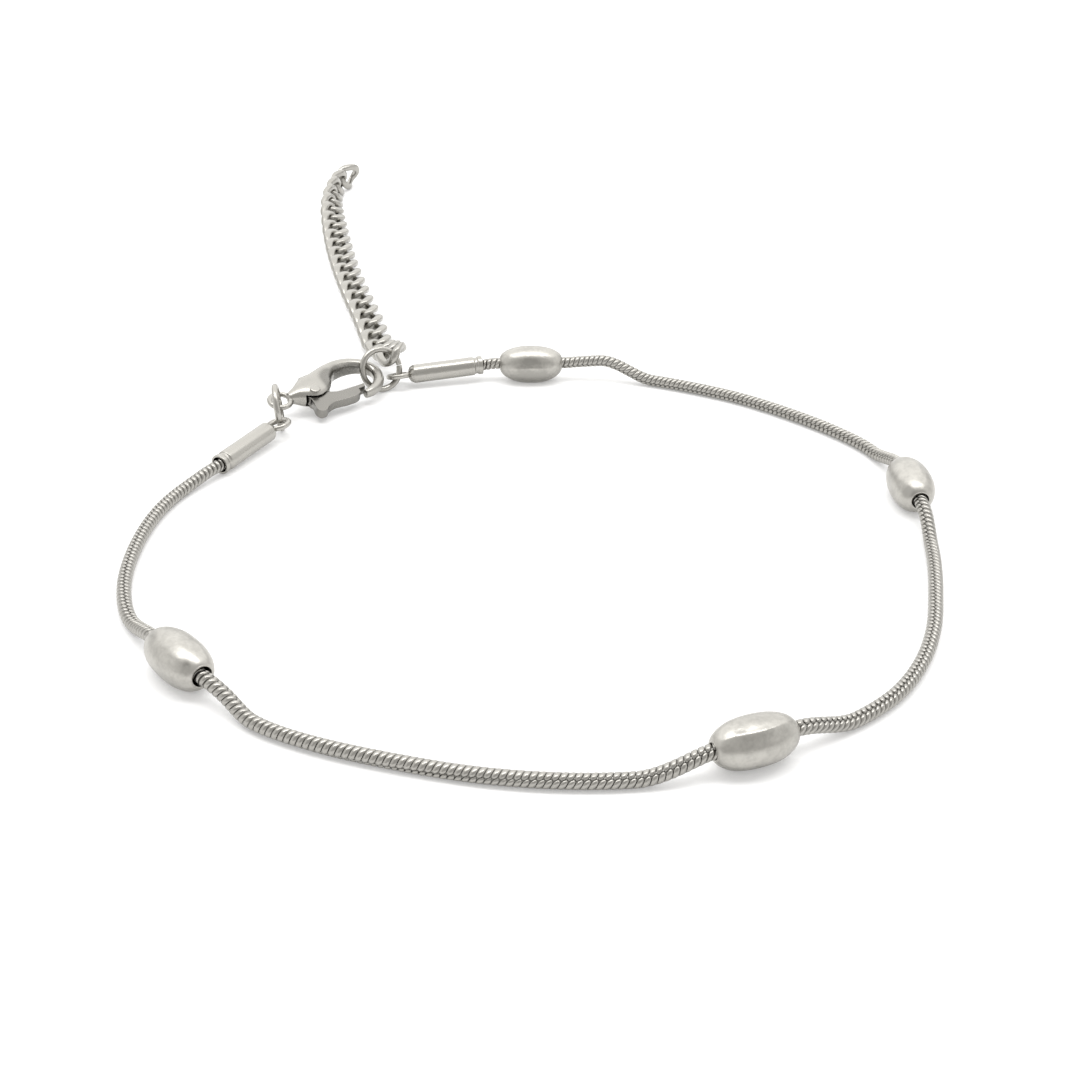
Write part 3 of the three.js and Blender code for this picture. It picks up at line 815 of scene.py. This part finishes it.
def bead_skin(size, turn, marks, seed):
    """A nugget as one skin round its bore: the reach over s and angle on the outside, flat on
    its belly, then small quarter rounds to the end faces and the bore."""
    sides, stations, last = 144, 110, 0.99999
    edge, lip = 0.035, 0.11
    waves, longest, shortest, uneven, calm_ends = 14, 2.2, 0.5, 0.014, 8
    share, bore, dents_and_shade = marks
    rim = bore + lip
    angle = (TAU * np.arange(sides) / sides)[None, :]
    s = -np.cos(np.linspace(0, np.pi, stations))[:, None] * last
    r, painted_bead_shade = bead_reach(s, angle, turn, share, dents_and_shade, rim, size)
    x = np.broadcast_to(s * (BEAD_HALF_LENGTH - edge), r.shape)
    outer = np.stack([x, -r * np.cos(angle), r * np.sin(angle)], axis=-1)
    quiet = uneven * ripples(outer, seed, waves, longest, shortest) * (1 - np.abs(s) ** calm_ends)
    outer[..., 1:] *= 1 + (quiet / r)[..., None]
    outer[..., 2] = np.maximum(outer[..., 2], -size["bead_height"])
    quarter = np.linspace(0, np.pi / 2, 5)
    rise, fall = edge * (1 - np.sin(quarter)), edge * (1 - np.cos(quarter))
    end_x = BEAD_HALF_LENGTH - np.concatenate([rise, fall])
    end_r = np.concatenate([rim - fall, bore + rise])
    ring = lambda xs, rs: np.stack(np.broadcast_arrays(
        xs[:, None], -rs[:, None] * np.cos(angle), rs[:, None] * np.sin(angle)), axis=-1)
    rows = np.concatenate([
        outer, ring(end_x[1:], end_r[1:]), ring(-end_x[::-1], end_r[::-1])[:-1]])
    # Painted shade on the outside only; the end faces and the bore get none.
    painted_shade = np.zeros(rows.shape[:2])
    painted_shade[: len(outer)] = painted_bead_shade
    return surface(rows[None], wrap_rows=True), painted_shade


class BRACELET_OT_beads(bpy.types.Operator):
    """Builds the four nugget beads on the chain"""

    bl_idname = "bracelet.beads"
    bl_label = "Nugget Beads"

    def execute(self, context):
        size = sizes_in_mm()
        finish = context.scene.bracelet_finish
        metal = steel(
            "nugget_satin", finish.bead_colour, finish.bead_roughness, **BEAD_WEAR_AND_SHADE, painted_shade=True)
        for seed, (name, (middle, heading, turn)) in enumerate(BEADS.items()):
            skin, painted_shade = bead_skin(size, turn, NUGGETS[name], seed)
            corners, quads, tris = skin
            corners = placed(corners, (*middle, BEAD_AXIS_HEIGHT), heading)
            piece = make_object(f"nugget_{name}", turned_out(corners, quads, tris))
            note(piece, "painted_shade", painted_shade)
            shade(piece)
            dress(piece, metal, "bead_steel", BODY, f"bead_{name}")
        return {"FINISHED"}


# ------------------------------------------------------------------ caps and rings

def torus(radius, wire, round_count=96, wire_count=24):
    """A ring about +Z: a circle of wire carried round a circle."""
    a = (TAU * np.arange(round_count) / round_count)[:, None]
    b = (TAU * np.arange(wire_count) / wire_count)[None, :]
    r = radius + wire * np.cos(b)
    points = np.stack([r * np.cos(a), r * np.sin(a), wire * np.sin(b) + 0 * a], axis=-1)
    return surface(points[None], wrap_rows=True)


def lathe(profile, sides=96):
    """A profile of (along, radius) pairs that is turned round +X and closed at both ends."""
    along, radius = np.asarray(profile, float).T
    angle = (TAU * np.arange(sides) / sides)[None, :]
    r = radius[:, None]
    points = np.stack(np.broadcast_arrays(
        along[:, None], r * np.cos(angle), r * np.sin(angle)), axis=-1)
    return surface(points[None])


def rounded(points, radius, steps=5):
    """A profile whose corners are small curves: each inner point gives way to a curve between
    the places a radius before and after it, weighted (1 - t) squared, 2 t (1 - t) and t squared."""
    p = np.asarray(points, float)
    made = [p[:1]]
    t = np.linspace(0, 1, steps)[:, None]
    for before, corner, after in zip(p[:-2], p[1:-1], p[2:]):
        ends = []
        for other in (before, after):
            away = other - corner
            far = np.linalg.norm(away)
            ends.append(corner + away / far * min(radius, 0.45 * far))
        made.append((1 - t) ** 2 * ends[0] + 2 * t * (1 - t) * corner + t**2 * ends[1])
    made.append(p[-1:])
    return np.concatenate(made)


def cap_profile(radius):
    """Half of a cap's section: the bore, the mouth, a collar with a groove behind it, the tube,
    and a nose that narrows to the eye."""
    bore, groove, closed, ease = 0.62, 0.1, 0.001, 0.07
    waist = radius - groove
    return rounded([
        (CAP_BORE_DEPTH, closed), (CAP_BORE_DEPTH, bore), (0.0, bore), (0.0, radius),
        (0.35, radius), (0.45, waist), (0.65, waist), (0.75, radius),
        (6.0, radius), (6.33, 0.75 * radius), (6.5, 0.35 * radius), (6.5, closed),
    ], ease)


class BRACELET_OT_end_caps(bpy.types.Operator):
    """Builds the two tube caps on the ends of the snake chain"""

    bl_idname = "bracelet.end_caps"
    bl_label = "End Caps"

    def execute(self, context):
        size = sizes_in_mm()
        finish = context.scene.bracelet_finish
        metal = steel(
            "cap_satin", finish.fitting_colour, finish.fitting_roughness, **FITTING_WEAR)
        tube = turned_out(*lathe(cap_profile(size["cap_radius"])))
        ring = torus(size["eye_radius"], size["eye_wire"])
        eye = turned_out(ring[0] + (CAP_LENGTH, 0, 0), *ring[1:])
        corners, quads, tris = joined(tube, eye)
        for name, (mouth, heading, low, high, turn) in CAPS.items():
            pitch = np.degrees(np.arctan2(high - low, CAP_LENGTH))
            cap = placed(corners, (*mouth, low), heading, pitch, turn)
            piece = make_object(f"cap_{name}", (cap, quads, tris))
            shade(piece, 50)
            dress(piece, metal, "fitting_steel", BODY, f"end_cap_{name}")
        return {"FINISHED"}


def split_ring(radius, wire):
    """A wire bent round a circle about +Z, whose narrowed ends meet in a fine slit."""
    slit, narrowing, suddenness = 0.02, 0.12, 400
    a = np.linspace(slit, TAU - slit, 110)[:, None]
    b = (TAU * np.arange(24) / 24)[None, :]
    half = wire * (1 - narrowing * (np.cos(a / 2) ** 2) ** suddenness)
    r = radius + half * np.cos(b)
    ring = np.stack([r * np.cos(a), r * np.sin(a), half * np.sin(b)], axis=-1)
    return turned_out(*surface(ring[None]))


class BRACELET_OT_jump_rings(bpy.types.Operator):
    """Builds the two jump rings, each a bent wire whose ends meet in a fine slit"""

    bl_idname = "bracelet.jump_rings"
    bl_label = "Jump Rings"

    def execute(self, context):
        size = sizes_in_mm()
        finish = context.scene.bracelet_finish
        metal = steel(
            "ring_satin", finish.fitting_colour, finish.fitting_roughness, **FITTING_WEAR)
        radius, wire = size["ring_radius"], size["ring_wire"]
        corners, quads, tris = split_ring(radius, wire)
        for name, (foot, heading, lean) in JUMP_RINGS.items():
            tilt = np.radians(lean)
            middle = ahead(foot, heading + 90, radius * np.sin(tilt))
            height = RING_LIFT + wire + radius * np.cos(tilt)
            ring = placed(corners, (*middle, height), heading, 0, 90 - lean)
            piece = make_object(f"ring_{name}", (ring, quads, tris))
            shade(piece, 60)
            dress(piece, metal, "fitting_steel", BODY, f"jump_ring_{name}")
        return {"FINISHED"}


# ------------------------------------------------------------------ clasp

def on_clasp(corners):
    """Places what is modelled along the clasp's own +X."""
    return placed(corners, CLASP_PLACE, *CLASP_TURNS)


def claw_skin():
    """The claw: an oval of the half width and half thickness in CLAW, carried along its bent
    middle line and across the line's direction. The oval is a little square."""
    per_span, sides, corner = 10, 40, 0.85
    middle = spline(CLAW[:, :2], per_span)
    half = spline(CLAW[:, 2:], per_span)
    along = unit(np.gradient(middle, axis=0))
    side = np.stack([-along[:, 1], along[:, 0]], axis=-1)
    angle = TAU * np.arange(sides) / sides
    wide = half[:, :1] * squarish(np.cos(angle), corner)
    plan = middle[:, None] + side[:, None] * wide[..., None]
    height = half[:, 1:] * squarish(np.sin(angle), corner)
    return turned_out(*surface(np.concatenate([plan, height[..., None]], axis=-1)[None]))


def block(low, high):
    """A box from its low to its high corner."""
    (x0, y0, z0), (x1, y1, z1) = low, high
    plan = [(x0, y0), (x1, y0), (x1, y1), (x0, y1)]
    rings = np.array([[(x, y, z) for x, y in plan] for z in (z0, z1)], float)
    return turned_out(*surface(rings[None]))


def post(radius, low, high, sides=48):
    """An upright post at the pivot, with slightly domed ends: distance in from each end, and
    share of the radius there."""
    dome = ((0.0, 0.3), (0.02, 0.8), (0.06, 1.0))
    height = np.array([low + step for step, _ in dome] + [high - step for step, _ in dome[::-1]])
    part = np.array([part for _, part in dome + dome[::-1]])
    angle = (TAU * np.arange(sides) / sides)[None, :]
    u, v = CLASP_PIVOT
    r = radius * part[:, None]
    points = np.stack(np.broadcast_arrays(
        u + r * np.cos(angle), v + r * np.sin(angle), height[:, None]), axis=-1)
    return turned_out(*surface(points[None]))


def cut(piece, name, skin):
    """Takes a shape in the clasp's frame out of a piece."""
    cutter = make_object(name, (on_clasp(skin[0]), *skin[1:]))
    carve = piece.modifiers.new("cut", "BOOLEAN")
    carve.operation = "DIFFERENCE"
    carve.solver = "EXACT"
    carve.object = cutter
    bake_modifiers(piece)
    bpy.data.objects.remove(cutter)


def add_shells(piece, skin):
    """Joins further closed shells to a piece's mesh."""
    other = make_object("shells", skin)
    with bpy.context.temp_override(active_object=piece, selected_editable_objects=[piece, other]):
        bpy.ops.object.join()


def window_shade(piece):
    """How much painted shade a vertex of the claw gets: 1 beside the space inside the hook, and 0
    past the outer reach from its middle line, with a smooth step between."""
    places = np.empty(3 * len(piece.data.vertices))
    piece.data.vertices.foreach_get("co", places)
    middle = (on_clasp(np.array(CLASP_WINDOW)) + np.append(LOOP_CENTRE, 0.0)) * MM
    away = np.linalg.norm(places.reshape(-1, 1, 3) - middle, axis=-1).min(axis=1) / MM
    near, far = WINDOW_REACH
    return smooth((far - away) / (far - near))


class BRACELET_OT_clasp(bpy.types.Operator):
    """Builds the lobster clasp's body with its hook, eye, slot and pivot"""

    bl_idname = "bracelet.clasp"
    bl_label = "Clasp"

    def execute(self, context):
        size = sizes_in_mm()
        finish = context.scene.bracelet_finish
        metal = steel(
            "clasp_satin", finish.fitting_colour, finish.fitting_roughness, **CLASP_WEAR_AND_SHADE,
            painted_shade=True)
        corners, quads, tris = claw_skin()
        piece = make_object("clasp_claw", (on_clasp(corners), quads, tris))
        pivot = (*CLASP_PIVOT, 0.0)
        cut(piece, "slot", block(*(np.add(pivot, corner) for corner in CLASP_SLOT)))
        eye = turned_out(*torus(size["eye_radius"], size["eye_wire"]))
        shells = joined(eye, post(*PIVOT_PIN), *(post(*head) for head in PIVOT_HEADS))
        add_shells(piece, (on_clasp(shells[0]), *shells[1:]))
        fuse(piece, voxel=0.035, rounds=4)
        # Painted shade in and round the space inside the hook.
        note(piece, "painted_shade", window_shade(piece))
        shade(piece)
        dress(piece, metal, "fitting_steel", BODY, "clasp_body")
        return {"FINISHED"}


def lever_outline():
    """The lever's edge in plan: an arc of its boss, splines along both edges and a straight tip."""
    boss = lambda first, last, count: [
        tuple(ahead(CLASP_PIVOT, angle, LEVER_BOSS)) for angle in np.linspace(first, last, count)]
    back = boss(140, 215, 16)
    edge = [tuple(point) for point in spline([back[-1], *LEVER_EDGE], 8)][1:]
    inner = [tuple(point) for point in spline([LEVER_TIP[-1], *LEVER_INNER_EDGE], 8)][1:]
    return np.array([*back, *edge, *LEVER_TIP, *inner, *boss(30, 140, 24)[:-1]])


class BRACELET_OT_lever(bpy.types.Operator):
    """Builds the clasp's sprung lever with its thumb tab"""

    bl_idname = "bracelet.lever"
    bl_label = "Lever"

    def execute(self, context):
        finish = context.scene.bracelet_finish
        # Painted shade: a darker copy of the fittings' steel stands for the lever's dark
        # reflections and shadow.
        metal = steel("lever_satin_painted_shade", finish.lever_shaded_colour, finish.fitting_roughness, **FITTING_WEAR)
        outline = lever_outline()
        rings = np.stack([
            np.column_stack([outline, np.full(len(outline), z)]) for z in LEVER_LEVELS])
        sides = surface(rings[None], closed_ends=False)
        piece = make_object("clasp_thumb_lever", (on_clasp(sides[0]), *sides[1:]))
        close_flat(piece, len(outline), len(LEVER_LEVELS))
        cut(piece, "hole", post(*PIVOT_HOLE))
        fuse(piece, voxel=0.03, rounds=5)
        shade(piece)
        dress(piece, metal, "fitting_steel", LEVER_BODY, "clasp_lever")
        return {"FINISHED"}


def close_flat(piece, count, levels):
    """Closes the open top and bottom rings of a plate with one flat face each, faces outwards."""
    mesh = bmesh.new()
    mesh.from_mesh(piece.data)
    mesh.verts.ensure_lookup_table()
    for start in (0, count * (levels - 1)):
        mesh.faces.new([mesh.verts[start + i] for i in range(count)])
    bmesh.ops.recalc_face_normals(mesh, faces=mesh.faces)
    mesh.to_mesh(piece.data)
    mesh.free()


# ------------------------------------------------------------------ extension chain

def curb_link(size):
    """One link along +X: a wire round an oval that rises and dips twice on the way. It is pressed
    flat: its height z becomes press * tanh(firm * z / press)."""
    rows, columns, twist, press, firm = 72, 16, 0.45, 0.66, 1.12
    wire = size["link_wire"]
    a, b = size["link_length"] / 2 - wire, size["link_width"] / 2 - wire
    t = (TAU * np.arange(rows) / rows)[:, None]
    middle = np.concatenate([a * np.cos(t), b * np.sin(t), twist * np.sin(2 * t)], axis=1)
    way = np.concatenate([-a * np.sin(t), b * np.cos(t), 2 * twist * np.cos(2 * t)], axis=1)
    side = unit(np.cross((0.0, 0.0, 1.0), way))
    up = unit(np.cross(way, side))
    angle = TAU * np.arange(columns) / columns
    points = middle[:, None] + wire * (
        np.cos(angle)[:, None] * side[:, None] + np.sin(angle)[:, None] * up[:, None])
    points[..., 2] = press * np.tanh(firm * points[..., 2] / press)
    return turned_out(*surface(points[None], wrap_rows=True))


class BRACELET_OT_extension(bpy.types.Operator):
    """Builds the curb extension chain, link by link"""

    bl_idname = "bracelet.extension"
    bl_label = "Extension Chain"

    def execute(self, context):
        size = sizes_in_mm()
        finish = context.scene.bracelet_finish
        metal = steel(
            "curb_satin", finish.extension_colour, finish.fitting_roughness, **CURB_WEAR)
        way = Route(spline(EXTENSION[:, :3], 60))
        passed = [way.nearest(point) for point in EXTENSION[:, :2]]
        steps = sum(LINKS_IN_STRETCH) - 1
        between = len(LINKS_IN_STRETCH) - 1
        run = LINK_STEP * (steps - between) + STRETCH_STEP * between
        along = FIRST_LINK + run * np.arange(steps + 1) / steps
        link = curb_link(size)
        start = 0
        for number, count in enumerate(LINKS_IN_STRETCH, 1):
            made = []
            for s in along[start : start + count]:
                forward, _, _ = way.frame(s)
                heading = np.degrees(np.arctan2(forward[1], forward[0]))
                pitch = np.degrees(np.arcsin(forward[2]))
                turn = np.interp(s, passed, EXTENSION[:, 3])
                made.append((placed(link[0], way.place(s), heading, pitch, turn), *link[1:]))
            piece = make_object(f"curb_{number}", joined(*made))
            shade(piece)
            dress(piece, metal, "extension_steel", BODY, f"extension_{number}")
            start += count
        return {"FINISHED"}


# ------------------------------------------------------------------ stage

# Light panels, in metres and degrees: place, turn from facing down, width and depth, and the
# setting that holds the radiance.
PANELS = {
    "back_panel": ((0.0, 0.33, 0.3), (-35, 0, 0), (0.9, 0.75), "back_radiance"),
    "top_strip": ((0.0, -0.02, 0.36), (0, 0, 0), (0.5, 0.1), "strip_radiance"),
    "left_panel": ((-0.42, 0.0, 0.2), (0, -80, 0), (0.36, 0.6), "side_radiance"),
    "right_panel": ((0.42, 0.0, 0.2), (0, 80, 0), (0.36, 0.6), "side_radiance"),
}

# The floor, in metres from its middle to its edge, and its grey.
FLOOR_REACH = 1.5
FLOOR_GREY = 0.75

# The camera's plan place from the loop's middle, and the width of its sensor.
CAMERA_PLAN = (0.3, -92.6)
SENSOR_WIDTH = 36.0


def soft_panel(name, place, turn, size, radiance):
    """A light panel that the camera doesn't see. Its power is the radiance times pi times its
    area."""
    lamp = bpy.data.lights.new(name, "AREA")
    lamp.shape = "RECTANGLE"
    lamp.size, lamp.size_y = size
    lamp.energy = radiance * np.pi * size[0] * size[1]
    panel = bpy.data.objects.new(name, lamp)
    panel.location = place
    panel.rotation_euler = np.radians(turn)
    panel.visible_camera = False
    bpy.context.scene.collection.objects.link(panel)


def pale_floor(glow):
    """A flat square of matt paper that glows a little, as a lit white table does."""
    r = FLOOR_REACH
    mesh = bpy.data.meshes.new("floor")
    mesh.from_pydata([(-r, -r, 0), (r, -r, 0), (r, r, 0), (-r, r, 0)], [], [(0, 1, 2, 3)])
    paper = Shader("pale_paper")
    inputs = paper.surface.inputs
    inputs["Base Color"].default_value = (FLOOR_GREY, FLOOR_GREY, FLOOR_GREY, 1.0)
    inputs["Emission Color"].default_value = (1.0, 1.0, 1.0, 1.0)
    inputs["Emission Strength"].default_value = glow
    inputs["Roughness"].default_value = 0.9
    inputs["Specular IOR Level"].default_value = 0.1
    mesh.materials.append(paper.material)
    floor = bpy.data.objects.new("floor", mesh)
    bpy.context.scene.collection.objects.link(floor)
    return floor


def soft_room(strength):
    """Light from all round, a little warm."""
    world = bpy.data.worlds.new("soft_room")
    world.use_nodes = True
    background = world.node_tree.nodes["Background"]
    background.inputs["Color"].default_value = (1.0, 0.99, 0.97, 1.0)
    background.inputs["Strength"].default_value = strength
    return world


def camera_on(stage):
    """The camera before the loop, which looks along +Y and down."""
    data = bpy.data.cameras.new("camera")
    data.sensor_width = SENSOR_WIDTH
    data.lens = stage.lens
    data.clip_start = 0.005
    data.clip_end = 10.0
    camera = bpy.data.objects.new("camera", data)
    camera.location = (*(LOOP_CENTRE + CAMERA_PLAN) * MM, stage.camera_height)
    camera.rotation_euler = (np.pi / 2 - stage.camera_tilt, 0, 0)
    bpy.context.scene.collection.objects.link(camera)
    return camera


class BRACELET_OT_stage(bpy.types.Operator):
    """Sets the pale floor, the soft light and the camera"""

    bl_idname = "bracelet.stage"
    bl_label = "Stage"

    def execute(self, context):
        stage = context.scene.bracelet_stage
        floor = pale_floor(stage.floor_glow)
        context.scene.world = soft_room(stage.room_light)
        for name, (place, turn, size, radiance) in PANELS.items():
            soft_panel(name, place, turn, size, getattr(stage, radiance))
        bpy.context.scene.camera = camera_on(stage)
        context.scene.view_settings.view_transform = "Standard"
        return {"FINISHED"}


# ------------------------------------------------------------------ sidebar and run

STEPS = (
    BRACELET_OT_snake_chain,
    BRACELET_OT_beads,
    BRACELET_OT_end_caps,
    BRACELET_OT_jump_rings,
    BRACELET_OT_clasp,
    BRACELET_OT_lever,
    BRACELET_OT_extension,
    BRACELET_OT_stage,
)


class BRACELET_PT_panel(bpy.types.Panel):
    """Lists the bracelet's sizes, finishes and steps"""

    bl_idname = "BRACELET_PT_panel"
    bl_label = "Bracelet"
    bl_space_type = "VIEW_3D"
    bl_region_type = "UI"
    bl_category = "Bracelet"

    def draw(self, context):
        for place, group in GROUPS.items():
            for name in group.__annotations__:
                self.layout.prop(getattr(context.scene, place), name)
        for step in STEPS:
            self.layout.operator(step.bl_idname)


GROUPS = {
    "bracelet_sizes": BraceletSizes,
    "bracelet_finish": BraceletFinish,
    "bracelet_stage": BraceletStage,
}


def register():
    for made in (*GROUPS.values(), *STEPS, BRACELET_PT_panel):
        bpy.utils.register_class(made)
    for name, group in GROUPS.items():
        setattr(bpy.types.Scene, name, bpy.props.PointerProperty(type=group))


def unregister():
    for name in GROUPS:
        delattr(bpy.types.Scene, name)
    for made in (BRACELET_PT_panel, *reversed(STEPS), *GROUPS.values()):
        bpy.utils.unregister_class(made)


def main():
    """Registers the add-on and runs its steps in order."""
    register()
    bpy.ops.bracelet.snake_chain()
    bpy.ops.bracelet.beads()
    bpy.ops.bracelet.end_caps()
    bpy.ops.bracelet.jump_rings()
    bpy.ops.bracelet.clasp()
    bpy.ops.bracelet.lever()
    bpy.ops.bracelet.extension()
    bpy.ops.bracelet.stage()


if __name__ == "__main__":
    main()
